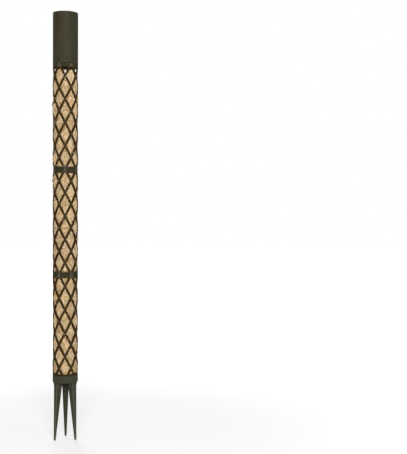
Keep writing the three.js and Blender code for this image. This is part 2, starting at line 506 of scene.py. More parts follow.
@dataclass(frozen=True)
class DriedMoss:
    """Tan dried bog moss with pale tips, pink and straw patches, brown bits and painted shade where it sinks
    into the lattice.
    """

    name: str = "dried_moss"
    # Dark brown of the painted shade where the moss sinks between the strands.
    recess_shade: Colour = srgb(104, 78, 46)
    tan: Colour = srgb(213, 186, 139)
    pink: Colour = srgb(218, 183, 142)
    straw: Colour = srgb(210, 190, 131)
    pale: Colour = srgb(244, 228, 197)
    stem: Colour = srgb(128, 94, 56)
    # Radii between which the painted shade fades out.
    sunk: float = 19.6 * MM
    proud: float = 22.2 * MM
    patch_size: float = 9 * MM
    tuft_size: float = 4.5 * MM
    thread_size: float = 1.6 * MM
    warmth_size: float = 2.6 * MM
    cloud_size: float = 21 * MM
    relief: float = 0.5 * MM
    gloss: float = 0.15

    def material(self) -> bpy.types.Material:
        """Build the shader.

        Returns:
            The material.
        """
        sheet = ShaderSheet.of_material(self.name)
        stops = [(0.32, self.straw), (0.44, self.tan), (0.56, self.pink), (0.68, self.tan)]
        patch = sheet.noise(self.patch_size, 3.0)
        colour = sheet.node("ShaderNodeValToRGB", {"stops": stops}, {"Fac": patch}, "Color")
        tint = sheet.node("ShaderNodeAttribute", {"attribute_name": TINT}, output="Fac")
        tuft = sheet.noise(self.tuft_size, 3.0)
        colour = sheet.mix((tuft * 0.5 + tint * 0.5).ease(0.45, 0.65) * 0.9, colour, self.pale)
        thread = sheet.noise(self.thread_size, 2.0)
        dark = (1 - (tuft * 0.45 + tint * 0.55)).ease(0.54, 0.8) * 0.8 + thread.ease(0.56, 0.7) * 0.4
        colour = sheet.mix(dark, colour, self.stem)
        warm = sheet.noise(self.warmth_size, 2.0).ease(0.34, 0.66)
        cloud = sheet.noise(self.cloud_size, 2.0).ease(0.36, 0.64)
        cast = {"Hue": 0.51 - warm * 0.02, "Saturation": 0.84 + warm * 0.44, "Value": 0.88 + cloud * 0.2}
        colour = sheet.node("ShaderNodeHueSaturation", None, {"Color": colour, **cast})
        reach = sheet.reach()
        # Painted shade: the moss darkens where it sinks between the strands, less so behind the film.
        depth = 1 - reach.ease(self.sunk, self.proud)
        behind_film = (sheet.axis("Y") / reach).ease(0.42, 0.58)
        colour = sheet.mix(depth * (0.42 - behind_film * 0.36), colour, self.recess_shade)
        return sheet.finish(
            {
                "Base Color": colour,
                "Roughness": 0.86 + thread * 0.12,
                "Normal": sheet.bump(tuft * 0.5 + thread * 0.5, self.relief),
                "Specular IOR Level": self.gloss,
            }
        )


@dataclass(frozen=True)
class ClearFilm:
    """Thin clear film with a faint haze and soft ripples."""

    name: str = "clear_guard_film"
    tint: Colour = srgb(224, 230, 222)
    ripple_size: float = 14 * MM
    haze_size: float = 2.4 * MM
    relief: float = 0.6 * MM

    def material(self) -> bpy.types.Material:
        """Build the shader.

        Returns:
            The material.
        """
        sheet = ShaderSheet.of_material(self.name)
        haze = sheet.noise(self.haze_size, 3.0)
        return sheet.finish(
            {
                "Base Color": (*self.tint, 1.0),
                "Roughness": 0.16 + haze * 0.2,
                "Alpha": 0.07 + haze.ease(0.45, 0.75) * 0.1,
                "Normal": sheet.bump(sheet.noise(self.ripple_size, 2.0), self.relief),
            }
        )


class Bench:
    """Operator calls that the pieces share."""

    WELD = 0.002 * MM
    SHORT_EDGE = 0.03 * MM
    RING_GAP = 0.004 * MM
    SMOOTH_ANGLE = math.radians(32)

    @staticmethod
    def clear() -> None:
        """Leave object mode with nothing selected."""
        if bpy.context.object and bpy.context.object.mode != "OBJECT":
            bpy.ops.object.mode_set(mode="OBJECT")
        bpy.ops.object.select_all(action="DESELECT")

    @classmethod
    def take(cls, piece: bpy.types.Object) -> None:
        """Select one piece alone and make it active."""
        cls.clear()
        piece.select_set(True)
        bpy.context.view_layer.objects.active = piece

    @staticmethod
    def named(name: str) -> bpy.types.Object:
        """Name the active piece and its mesh.

        Args:
            name: The new name.

        Returns:
            The piece.
        """
        piece = bpy.context.object
        piece.name = name
        piece.data.name = name
        return piece

    @classmethod
    def edit(cls, piece: bpy.types.Object) -> None:
        """Open a piece in edit mode with all of it selected."""
        cls.take(piece)
        bpy.ops.object.mode_set(mode="EDIT")
        bpy.ops.mesh.select_all(action="SELECT")

    @classmethod
    def pick_edges(cls, piece: bpy.types.Object, wanted: Callable[[Vector, Vector], bool]) -> None:
        """Open a piece in edit mode with some edges selected.

        Args:
            piece: The piece.
            wanted: Test of an edge's two ends.
        """
        cls.edit(piece)
        bpy.ops.mesh.select_mode(type="EDGE")
        bpy.ops.mesh.select_all(action="DESELECT")
        bpy.ops.object.mode_set(mode="OBJECT")
        mesh = piece.data
        for edge in mesh.edges:
            ends = [mesh.vertices[i].co for i in edge.vertices]
            edge.select = wanted(*ends)
        bpy.ops.object.mode_set(mode="EDIT")

    @classmethod
    def pick_faces(cls, piece: bpy.types.Object, wanted: Callable[[Vector, Vector], bool]) -> None:
        """Open a piece in edit mode with some faces selected.

        Args:
            piece: The piece.
            wanted: Test of a face's normal and centre.
        """
        cls.edit(piece)
        bpy.ops.mesh.select_mode(type="FACE")
        bpy.ops.mesh.select_all(action="DESELECT")
        bpy.ops.object.mode_set(mode="OBJECT")
        for face in piece.data.polygons:
            face.select = wanted(face.normal, face.center)
        bpy.ops.object.mode_set(mode="EDIT")

    @classmethod
    def modify(cls, piece: bpy.types.Object, kind: str, **settings: object) -> None:
        """Add a modifier and apply it.

        Args:
            piece: The piece.
            kind: Blender's name of the modifier type.
            settings: Properties of the modifier.
        """
        cls.take(piece)
        modifier = piece.modifiers.new(kind.title(), kind)
        for name, value in settings.items():
            setattr(modifier, name, value)
        bpy.ops.object.modifier_apply(modifier=modifier.name)

    @classmethod
    def bevel(cls, piece: bpy.types.Object, width: float, segments: int, degrees: float) -> None:
        """Round the edges of a piece that are sharper than an angle.

        Args:
            piece: The piece.
            width: Width of the rounding.
            segments: Number of faces across it.
            degrees: The angle.
        """
        limit = math.radians(degrees)
        cls.modify(piece, "BEVEL", width=width, segments=segments, limit_method="ANGLE", angle_limit=limit)

    @classmethod
    def merge(cls, piece: bpy.types.Object) -> None:
        """Merge doubled points and turn all faces outwards."""
        cls.edit(piece)
        bpy.ops.mesh.remove_doubles(threshold=cls.WELD)
        bpy.ops.mesh.normals_make_consistent(inside=False)
        bpy.ops.object.mode_set(mode="OBJECT")

    @classmethod
    def facet(cls, piece: bpy.types.Object) -> None:
        """Clean a piece after its last cut, with no flat, doubled or many-sided face left."""
        cls.merge(piece)
        cls.edit(piece)
        bpy.ops.mesh.dissolve_degenerate(threshold=cls.SHORT_EDGE)
        bpy.ops.mesh.select_mode(type="FACE")
        bpy.ops.mesh.select_all(action="DESELECT")
        bpy.ops.mesh.select_face_by_sides(number=4, type="GREATER", extend=False)
        bpy.ops.mesh.quads_convert_to_tris(quad_method="BEAUTY", ngon_method="BEAUTY")
        bpy.ops.mesh.select_mode(type="VERT")
        bpy.ops.mesh.select_all(action="SELECT")
        bpy.ops.mesh.delete_loose()
        bpy.ops.object.mode_set(mode="OBJECT")

    @classmethod
    def lift(cls, piece: bpy.types.Object, height: float) -> None:
        """Move a piece's mesh up to its place on the pole."""
        cls.edit(piece)
        bpy.ops.transform.translate(value=(0, 0, height))
        bpy.ops.object.mode_set(mode="OBJECT")

    @classmethod
    def unite(cls, piece: bpy.types.Object, others: Sequence[bpy.types.Object]) -> None:
        """Fuse other pieces into one and remove them."""
        cls._combine(piece, others, "UNION")

    @classmethod
    def cut(cls, piece: bpy.types.Object, others: Sequence[bpy.types.Object]) -> None:
        """Cut other pieces out of one and remove them."""
        cls._combine(piece, others, "DIFFERENCE")

    @classmethod
    def _combine(cls, piece: bpy.types.Object, others: Sequence[bpy.types.Object], operation: str) -> None:
        """Run a Boolean with each of the others.

        Args:
            piece: The piece that stays.
            others: The pieces that are used up.
            operation: Blender's name of the operation.
        """
        for other in others:
            cls.modify(piece, "BOOLEAN", operation=operation, solver="EXACT", object=other)
            bpy.data.objects.remove(other)

    @classmethod
    def join(cls, pieces: Sequence[bpy.types.Object]) -> bpy.types.Object:
        """Join pieces into the first one.

        Args:
            pieces: The pieces.

        Returns:
            The joined piece.
        """
        cls.take(pieces[0])
        for piece in pieces:
            piece.select_set(True)
        bpy.ops.object.join()
        return pieces[0]

    @classmethod
    def polish(cls, piece: bpy.types.Object) -> None:
        """Shade a piece smooth apart from its sharp edges."""
        cls.take(piece)
        bpy.ops.object.shade_smooth_by_angle(angle=cls.SMOOTH_ANGLE)

    @classmethod
    def turned(cls, name: str, profile: Sequence[Corner], sides: int = 120) -> bpy.types.Object:
        """Turn a closed profile about the pole's axis.

        Args:
            name: Name of the piece.
            profile: Radius and height of each corner, in order around the profile.
            sides: Number of sides.

        Returns:
            The closed ring.
        """
        cls.clear()
        radius, height = profile[0]
        bpy.ops.mesh.primitive_circle_add(vertices=sides, radius=radius, location=(0, 0, 0))
        piece = cls.named(name)
        cls.edit(piece)
        bpy.ops.transform.translate(value=(0, 0, height))
        for next_radius, next_height in profile[1:]:
            step = (0, 0, next_height - height)
            bpy.ops.mesh.extrude_edges_move(TRANSFORM_OT_translate={"value": step})
            share = next_radius / radius
            bpy.ops.transform.resize(value=(share, share, 1), center_override=(0, 0, next_height))
            radius, height = next_radius, next_height
        bpy.ops.object.mode_set(mode="OBJECT")
        first, last = profile[0], profile[-1]
        cls.pick_edges(piece, lambda a, b: cls._on_ring(a, b, first) or cls._on_ring(a, b, last))
        bpy.ops.mesh.bridge_edge_loops()
        bpy.ops.object.mode_set(mode="OBJECT")
        cls.merge(piece)
        return piece

    @classmethod
    def _on_ring(cls, one: Vector, other: Vector, corner: Corner) -> bool:
        """Tell whether an edge lies on the ring that a profile corner makes."""
        gaps = (gap for end in (one, other) for gap in (end.xy.length - corner[0], end.z - corner[1]))
        return all(abs(gap) < cls.RING_GAP for gap in gaps)

    @staticmethod
    def dress(
        piece: bpy.types.Object, material: bpy.types.Material, body: Body, slot: Slot, node: str
    ) -> None:
        """Give a finished piece its material and body, and hide the CAD node that it replaces.

        Args:
            piece: The piece.
            material: Its material.
            body: The body that it rides on.
            slot: The record's slot of its finish; not used.
            node: CAD node that it replaces.
        """
        piece.data.materials.clear()
        piece.data.materials.append(material)
        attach(piece, body.value)
        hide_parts(node)
        faces = sum(len(polygon.vertices) - 2 for polygon in piece.data.polygons)
        LOG.info("%s: %d triangles on %s", piece.name, faces, body.value)


@dataclass(frozen=True)
class Lattice:
    """The net of crossing strands that all tubes share."""

    radius: float = RADIUS
    module: float = MODULE
    strands_each_way: int = STRANDS_EACH_WAY
    rows: int = ROWS
    strand_width: float = 3.8 * MM
    strand_depth: float = 2.6 * MM
    recess: float = 0.8 * MM
    soft_edge: float = 0.55 * MM
    frame_gap: float = 0.01 * MM
    steps: int = 3

    @property
    def bore(self) -> float:
        """Radius inside the strands."""
        return self.radius - self.strand_depth

    @property
    def column_angle(self) -> float:
        """Angle from one column of crossings to the next."""
        return math.pi / self.strands_each_way

    @property
    def column(self) -> float:
        """Arc from one column of crossings to the next."""
        return self.radius * self.column_angle

    @property
    def row(self) -> float:
        """Height from one row of crossings to the next."""
        return self.module / self.rows

    @property
    def twist(self) -> float:
        """Turn of the strands over the length of one tube."""
        return self.rows * self.column_angle

    def strand_distance(self, azimuth: float, height: float, turn: float) -> float:
        """Measure how far a point of the wall lies from the middle of the nearest strand.

        Args:
            azimuth: Angle of the point about the axis.
            height: Height above the tube's joint level.
            turn: Turn of the tube.

        Returns:
            The distance along the wall.
        """
        across = (azimuth - FRONT - turn) / self.column_angle
        up = height / self.row
        legs = ((across + up) / 2, (across - up) / 2)
        nearest = min(abs(leg - round(leg)) for leg in legs)
        return 2 * nearest / math.hypot(1 / self.column, 1 / self.row)

    def net(self, name: str, low: float, high: float, turn: float, rows: tuple[int, int]) -> bpy.types.Object:
        """Model the strands between two heights as one closed piece.

        Args:
            name: Name of the piece.
            low: Lower end, above the joint level.
            high: Upper end, above the joint level.
            turn: Turn about the axis.
            rows: First row of windows, which is odd, and the number of row pairs.

        Returns:
            The net.
        """
        first_row, pairs = rows
        piece = self._window_frame(name)
        Bench.edit(piece)
        bpy.ops.transform.translate(value=(0, 0, first_row * self.row))
        bpy.ops.mesh.duplicate_move(TRANSFORM_OT_translate={"value": (self.column, 0, self.row)})
        bpy.ops.object.mode_set(mode="OBJECT")
        spread = {"use_relative_offset": False, "use_constant_offset": True}
        across = (2 * self.column, 0, 0)
        upward = (0, 0, 2 * self.row)
        Bench.modify(piece, "ARRAY", count=self.strands_each_way, constant_offset_displace=across, **spread)
        Bench.modify(piece, "ARRAY", count=pairs, constant_offset_displace=upward, **spread)
        self._roll(piece, turn)
        Bench.edit(piece)
        bpy.ops.mesh.remove_doubles(threshold=self.frame_gap)
        bpy.ops.object.mode_set(mode="OBJECT")
        Bench.modify(piece, "SOLIDIFY", thickness=self.strand_depth, offset=-1.0)
        self._trim(piece, low, high)
        Bench.bevel(piece, self.soft_edge, segments=2, degrees=50)
        Bench.merge(piece)
        return piece

    def _window_frame(self, name: str) -> bpy.types.Object:
        """Model the flat frame of half strands around one diamond window.

        Args:
            name: Name of the piece.

        Returns:
            The frame, facing -Y.
        """
        Bench.clear()
        upright = (math.pi / 2, 0, 0)
        bpy.ops.mesh.primitive_plane_add(size=math.sqrt(2), location=(0, 0, 0), rotation=upright)
        piece = Bench.named(name)
        bpy.ops.object.transform_apply(location=True, rotation=True, scale=True)
        Bench.edit(piece)
        bpy.ops.transform.rotate(value=math.pi / 4, orient_axis="Y", center_override=(0, 0, 0))
        bpy.ops.transform.resize(value=(self.column, 1, self.row), center_override=(0, 0, 0))
        bpy.ops.mesh.inset(thickness=self.strand_width / 2, use_even_offset=True)
        bpy.ops.mesh.delete(type="FACE")
        bpy.ops.object.mode_set(mode="OBJECT")
        wide, tall = self.column / 2, self.row / 2
        Bench.pick_edges(piece, lambda a, b: abs(a.x - b.x) > wide and abs(a.z - b.z) > tall)
        bpy.ops.mesh.subdivide(number_cuts=self.steps)
        bpy.ops.object.mode_set(mode="OBJECT")
        return piece

    def _roll(self, piece: bpy.types.Object, turn: float) -> None:
        """Roll a flat net into a tube.

        Args:
            piece: The net, flat in the XZ plane.
            turn: Turn about the axis.
        """
        for vertex in piece.data.vertices:
            azimuth = FRONT + turn + vertex.co.x / self.radius
            vertex.co = (self.radius * math.cos(azimuth), self.radius * math.sin(azimuth), vertex.co.z)

    @staticmethod
    def _trim(piece: bpy.types.Object, low: float, high: float) -> None:
        """Cut a net off flat at both ends.

        Args:
            piece: The net.
            low: Height of the lower cut.
            high: Height of the upper cut.
        """
        for height, normal in ((low, (0, 0, -1)), (high, (0, 0, 1))):
            Bench.edit(piece)
            bpy.ops.mesh.bisect(plane_co=(0, 0, height), plane_no=normal, use_fill=True, clear_outer=True)
            bpy.ops.object.mode_set(mode="OBJECT")


@dataclass(frozen=True)
class Foot:
    """Heights of a plug-in foot above its own joint level."""

    rim: float
    floor: float
    clearance: float = 0.3 * MM
    flange_height: float = 2.0 * MM

    @property
    def spigot(self) -> float:
        """Lower end of the spigot."""
        return self.floor + self.clearance

    @property
    def flange(self) -> float:
        """Underside of the flange."""
        return self.rim + self.clearance

    @property
    def open(self) -> float:
        """Height where the open lattice starts."""
        return self.flange + self.flange_height


@dataclass
class LatticeTube:
    """One lattice tube with a spigot and flange at its foot and a socket band at its head."""

    label: str
    body: Body
    index: int
    foot: Foot
    lattice: Lattice = field(default_factory=Lattice)
    socket_below: float = 6.0 * MM
    socket_above: float = 2.0 * MM
    socket_overlap: float = 0.05 * MM
    spigot_wall: float = 1.7 * MM
    clearance: float = 0.3 * MM
    edge: float = 0.3 * MM

    @property
    def level(self) -> float:
        """Height of the tube's lower joint level."""
        return FIRST_LEVEL + self.index * self.lattice.module

    @property
    def turn(self) -> float:
        """Turn of the tube about the axis."""
        return self.index * self.lattice.twist

    @property
    def spigot_radius(self) -> float:
        """Outer radius of the spigot."""
        return self.lattice.bore - self.clearance

    @property
    def spigot_bore(self) -> float:
        """Inner radius of the spigot."""
        return self.spigot_radius - self.spigot_wall

    @property
    def fill_top(self) -> float:
        """Height up to which the tube can be filled."""
        return self.lattice.module - self.socket_below

    def build(self) -> bpy.types.Object:
        """Model the tube.

        Returns:
            The finished tube, in place.
        """
        rim = self.lattice.module + self.socket_above
        pairs = self.lattice.rows // 2 + 2
        name = f"lattice_tube_{self.label}"
        tube = self.lattice.net(name, self.foot.flange, rim, self.turn, (-1, pairs))
        Bench.unite(tube, [self._socket_band(rim), self._spigot()])
        Bench.facet(tube)
        Bench.lift(tube, self.level)
        Bench.polish(tube)
        return tube

    def _socket_band(self, rim: float) -> bpy.types.Object:
        """Model the closed band behind the strands at the tube's head.

        Args:
            rim: Height of the rim.

        Returns:
            The band.
        """
        outer = self.lattice.radius - self.lattice.recess
        inner = self.lattice.bore - self.socket_overlap
        low = self.fill_top
        return self._ring("socket_band", [(inner, low), (outer, low), (outer, rim), (inner, rim)])

    def _spigot(self) -> bpy.types.Object:
        """Model the spigot with the flange that closes the tube's foot.

        Returns:
            The spigot.
        """
        outer = self.lattice.radius - self.lattice.recess
        foot = self.foot
        corners = [
            (self.spigot_bore, foot.spigot),
            (self.spigot_radius, foot.spigot),
            (self.spigot_radius, foot.flange),
            (outer, foot.flange),
            (outer, foot.open),
            (self.spigot_bore, foot.open),
        ]
        return self._ring("spigot", corners)

    def _ring(self, name: str, corners: Sequence[Corner]) -> bpy.types.Object:
        """Turn a ring and round its sharp edges.

        Args:
            name: Name of the ring.
            corners: Radius and height of each corner.

        Returns:
            The ring.
        """
        ring = Bench.turned(name, corners)
        Bench.bevel(ring, self.edge, segments=2, degrees=50)
        return ring

    def dress(self, material: bpy.types.Material) -> None:
        """Build the tube and give it its finish."""
        Bench.dress(self.build(), material, self.body, Slot.PLASTIC, f"tube_{self.label}")


class Lie(Enum):
    """Where a strand of moss lies."""

    LOOSE = "loose in the windows"
    OVER = "over the lattice"
    PRESSED = "pressed behind the film"


class MossTop(Enum):
    """How the moss ends at the head of a tube."""

    PACKED = "packed"
    LOOSE = "loose"


@dataclass(frozen=True)
class Tuft:
    """A place where the moss swells out of the lattice."""

    azimuth: float
    height: float
    rise: float
    spread: float = 8.0 * MM

    def rise_at(self, azimuth: float, height: float, radius: float) -> float:
        """Give the tuft's rise at a point of the moss.

        Args:
            azimuth: Angle of the point about the axis.
            height: Height of the point above the joint level.
            radius: Radius of the tube.

        Returns:
            The rise, which fades with the distance.
        """
        across = math.remainder(azimuth - self.azimuth, FULL_TURN) * radius
        return self.rise * math.exp(-(math.hypot(across, height - self.height) / self.spread) ** 2)


@dataclass(frozen=True)
class Fibre:
    """One kind of fibre in the moss; its thinnest and thickest radius are in millimetres."""

    count: int
    points: int
    step: float
    thick: Span
    lift: float
    lie: Lie = Lie.LOOSE


@dataclass
class MossFill:
    """Dried moss packed into one lattice tube: a lumpy core under a tangle of strands and threads."""

    tube: LatticeTube
    top: MossTop
    tufts: Sequence[Tuft] = ()
    sides: int = 168
    layers: int = 132
    rings: int = 4
    strands: Fibre = Fibre(640, 11, 2.5 * MM, (0.42, 0.78), 0.15 * MM)
    threads: Fibre = Fibre(760, 7, 2.6 * MM, (0.13, 0.26), 0.55 * MM)
    wisps: Fibre = Fibre(30, 7, 2.6 * MM, (0.16, 0.36), 1.9 * MM, Lie.OVER)
    pressed: Fibre = Fibre(420, 7, 2.8 * MM, (0.2, 0.34), 0.0, Lie.PRESSED)
    under: float = 20.7 * MM
    swell: float = 1.9 * MM
    broad_swell: float = 0.9 * MM
    fine_swell: float = 0.7 * MM
    grit: float = 0.25 * MM
    behind: float = 19.7 * MM
    plug: float = 18.9 * MM
    packed_hollow: float = 1.5 * MM
    loose_hollow: float = 16.5 * MM
    packed_drop_mm: float = 0.6
    packed_ragged_mm: float = 0.3
    loose_drop_mm: float = 13.5
    loose_peak_mm: float = 10.5
    loose_ragged_mm: float = 1.8
    dip: float = FRONT + math.radians(30)
    dip_depth_mm: float = 3.0
    dip_spread: float = math.radians(11)
    guard_half_wrap: float = math.radians(60)
    film_fade: Span = (0.03, 0.16)
    film_share: float = 0.4
    window_rise: Span = (1.2 * MM, 4.6 * MM)
    end_rise: Span = (0.2 * MM, 3.5 * MM)
    curl: float = 0.3
    kink: float = 0.28
    end_margin: float = 1.5 * MM
    strand_margin: float = 2.6 * MM
    first_seed: int = 31

    def __post_init__(self) -> None:
        """Seed the tube's own tangle."""
        self.random = random.Random(self.first_seed + self.tube.index)
        self.drift = Vector((3.7, 1.9, 5.3)) * (1 + self.tube.index)

    def lump(self, azimuth: float, height: float, size: float) -> float:
        """Give a soft noise on the moss that closes around the tube.

        Args:
            azimuth: Angle about the axis.
            height: Height above the joint level.
            size: Size of one lump.

        Returns:
            A value from about -1 to 1.
        """
        radius = self.tube.lattice.radius
        place = Vector((radius * math.cos(azimuth), radius * math.sin(azimuth), height)) / size
        return noise.noise(place + self.drift)

    @property
    def hollow(self) -> float:
        """Height of the middle of the moss's top."""
        return self.tube.fill_top - (self.loose_hollow if self.top is MossTop.LOOSE else self.packed_hollow)

    def end(self, azimuth: float) -> float:
        """Give the height where the moss ends.

        Args:
            azimuth: Angle about the axis.

        Returns:
            The height above the joint level.
        """
        if self.top is MossTop.PACKED:
            ragged = self.packed_ragged_mm * self.lump(azimuth, 0.0, 9 * MM)
            return self.tube.fill_top + (ragged - self.packed_drop_mm) * MM
        phase = (azimuth - FRONT - self.tube.turn) / self.tube.lattice.column_angle
        under_crossing = 0.5 - 0.5 * math.cos(math.pi * (phase + self.tube.lattice.rows + 1))
        from_dip = math.remainder(azimuth - self.dip, FULL_TURN)
        dip = self.dip_depth_mm * math.exp(-((from_dip / self.dip_spread) ** 2))
        ragged = self.loose_ragged_mm * self.lump(azimuth, 0.3, 8 * MM)
        peak = self.loose_peak_mm * under_crossing**1.5
        return self.tube.fill_top + (-self.loose_drop_mm + peak + ragged - dip) * MM

    def shielded(self, azimuth: float, fray: float = 0.0) -> float:
        """Tell how far a side of the moss lies behind the film.

        Args:
            azimuth: Angle about the axis.
            fray: Angle by which the moss keeps back from the film's edge.

        Returns:
            1 behind the film and 0 clear of it.
        """
        away = abs(math.remainder(azimuth - BACK, FULL_TURN)) - fray
        near, far = self.film_fade
        return 1 - smooth(self.guard_half_wrap + near, self.guard_half_wrap + far, away)

    def is_behind(self, azimuth: float) -> bool:
        """Tell whether a fibre at this angle belongs behind the film."""
        return self.shielded(azimuth) > self.film_share

    def surface(self, azimuth: float, height: float) -> float:
        """Give the radius of the moss.

        Args:
            azimuth: Angle about the axis.
            height: Height above the joint level.

        Returns:
            The radius.
        """
        lattice = self.tube.lattice
        foot = self.tube.foot
        gap = lattice.strand_distance(azimuth, height, self.tube.turn)
        near, far = self.end_rise
        window = smooth(*self.window_rise, gap)
        window *= smooth(foot.open + near, foot.open + far, height)
        window *= 1 - smooth(self.tube.fill_top - far, self.tube.fill_top - near, height)
        bulge = self.swell + self.broad_swell * self.lump(azimuth, height, 15 * MM)
        bulge += self.fine_swell * self.lump(azimuth, height, 4 * MM)
        free = self.under + window * bulge + self.grit * self.lump(azimuth, height, 2.2 * MM)
        free += sum(tuft.rise_at(azimuth, height, lattice.radius) for tuft in self.tufts)
        flat = self.behind + self.grit * self.lump(azimuth, height, 5 * MM)
        fray = 0.2 * max(0.0, 0.25 + self.lump(azimuth, height, 7 * MM))
        shield = self.shielded(azimuth, fray)
        packed = shield * flat + (1 - shield) * free
        above_spigot = smooth(foot.open - 0.5 * MM, foot.open + 1.5 * MM, height)
        return self.plug + above_spigot * (packed - self.plug)

    def place(self, azimuth: float, height: float, radius: float) -> Point:
        """Turn a point on the moss into a place on the pole.

        Args:
            azimuth: Angle about the axis.
            height: Height above the joint level.
            radius: Distance from the axis.

        Returns:
            The place.
        """
        return radius * math.cos(azimuth), radius * math.sin(azimuth), self.tube.level + height

    def build(self) -> bpy.types.Object:
        """Model the moss.

        Returns:
            The finished moss, in place.
        """
        core = self._core()
        self._tint(core, [0.5])
        tangle = self._tangle()
        moss = Bench.join([core, tangle])
        Bench.take(moss)
        bpy.ops.object.shade_smooth()
        return moss

    def _core(self) -> bpy.types.Object:
        """Model the closed, lumpy column.

        Returns:
            The column.
        """
        low = self.tube.foot.spigot
        depth = self.tube.fill_top - low
        Bench.clear()
        bpy.ops.mesh.primitive_cylinder_add(
            vertices=self.sides, radius=self.plug, depth=depth, location=(0, 0, low + depth / 2)
        )
        core = Bench.named(f"moss_column_{self.tube.label}")
        bpy.ops.object.transform_apply(location=True, rotation=True, scale=True)
        Bench.pick_edges(core, lambda a, b: abs(a.z - b.z) > depth / 2)
        bpy.ops.mesh.subdivide(number_cuts=self.layers)
        bpy.ops.object.mode_set(mode="OBJECT")
        Bench.pick_faces(core, lambda normal, _: abs(normal.z) > 0.9)
        for _ in range(self.rings):
            bpy.ops.mesh.inset(thickness=self.plug / (self.rings + 1))
        bpy.ops.object.mode_set(mode="OBJECT")
        for vertex in core.data.vertices:
            share = vertex.co.xy.length / self.plug
            azimuth = math.atan2(vertex.co.y, vertex.co.x)
            along = (vertex.co.z - low) / depth
            ridge = smooth(0.7, 0.98, share)
            middle = self.hollow + 1.5 * MM * self.lump(azimuth, share, 6 * MM)
            end = ridge * self.end(azimuth) + (1 - ridge) * middle
            height = low + along * (end - low)
            vertex.co = self.place(azimuth, height, share * self.surface(azimuth, height))
        return core

    def _tangle(self) -> bpy.types.Object:
        """Model the strands and threads on the column as one mesh.

        Returns:
            The tangle.
        """
        data = bpy.data.curves.new(f"moss_tangle_{self.tube.label}", "CURVE")
        data.dimensions = "3D"
        data.bevel_depth = MM
        data.bevel_resolution = 0
        data.use_fill_caps = True
        tints: list[float] = []
        for fibre in (self.strands, self.threads, self.wisps, self.pressed):
            for _ in range(fibre.count):
                tints.extend(self._lay(data, fibre))
        tangle = bpy.data.objects.new(data.name, data)
        bpy.context.collection.objects.link(tangle)
        Bench.take(tangle)
        bpy.ops.object.convert(target="MESH")
        tangle = bpy.context.object
        self._tint(tangle, tints)
        return tangle

    def _start(self, low: float, high: float, behind: bool) -> tuple[float, float]:
        """Draw the place where a fibre starts.

        Args:
            low: Lowest height above the joint level.
            high: Highest height.
            behind: Whether it lies behind the film.

        Returns:
            The angle about the axis and the height.
        """
        while True:
            azimuth = self.random.uniform(0, FULL_TURN)
            height = self.random.uniform(low, high)
            gap = self.tube.lattice.strand_distance(azimuth, height, self.tube.turn)
            clear = behind or gap > self.strand_margin
            if clear and self.is_behind(azimuth) == behind and height < self.end(azimuth) - 1 * MM:
                return azimuth, height

    def _lay(self, data: bpy.types.Curve, fibre: Fibre) -> list[float]:
        """Lay one fibre over the column.

        Args:
            data: Curve that takes the fibre.
            fibre: Its kind.

        Returns:
            The tint of each point.
        """
        rnd = self.random
        lattice = self.tube.lattice
        low, high = self.tube.foot.open + self.end_margin, self.tube.fill_top - self.end_margin
        behind = fibre.lie is Lie.PRESSED
        azimuth, height = self._start(low, high, behind)
        heading = rnd.uniform(0, FULL_TURN)
        curl = rnd.uniform(-self.curl, self.curl)
        radius = rnd.uniform(*fibre.thick)
        tint = min(1.0, max(0.0, rnd.gauss(0.5, 0.3)))
        spline = data.splines.new("POLY")
        spline.points.add(fibre.points - 1)
        for index, point in enumerate(spline.points):
            share = index / (fibre.points - 1)
            arch = math.sin(math.pi * share)
            reach = self.surface(azimuth, height) + fibre.lift * arch + (rnd.random() - 0.35) * 0.3 * MM
            if fibre.lie is Lie.OVER:
                reach = max(reach, lattice.radius + (0.25 + 0.8 * arch * rnd.random()) * MM)
            elif behind:
                reach = min(reach, self.behind + 0.3 * MM)
            point.co = (*self.place(azimuth, height, reach), 1.0)
            point.radius = radius * (0.45 + 0.55 * arch) * rnd.uniform(0.75, 1.3)
            heading += curl + rnd.gauss(0, self.kink)
            ahead = height + fibre.step * math.sin(heading)
            if not low < ahead < min(high, self.end(azimuth)):
                heading = -heading
                ahead = height + fibre.step * math.sin(heading)
            height = min(high, max(low, ahead))
            azimuth += fibre.step * math.cos(heading) / lattice.radius
            if self.is_behind(azimuth) != behind:
                heading = math.pi - heading
                azimuth += 2 * fibre.step * math.cos(heading) / lattice.radius
        return [tint] * fibre.points

    @staticmethod
    def _tint(piece: bpy.types.Object, tints: Sequence[float]) -> None:
        """Store a tint on every point of a mesh.

        Args:
            piece: The mesh.
            tints: Tints that follow each other in equal runs of points.
        """
        count = len(piece.data.vertices)
        run = count / len(tints)
        values = [tints[min(len(tints) - 1, int(index / run))] for index in range(count)]
        attribute = piece.data.attributes.new(TINT, "FLOAT", "POINT")
        attribute.data.foreach_set("value", values)

    def dress(self, material: bpy.types.Material) -> None:
        """Build the moss and give it its finish."""
        Bench.dress(self.build(), material, self.tube.body, Slot.MOSS, f"moss_{self.tube.label}")


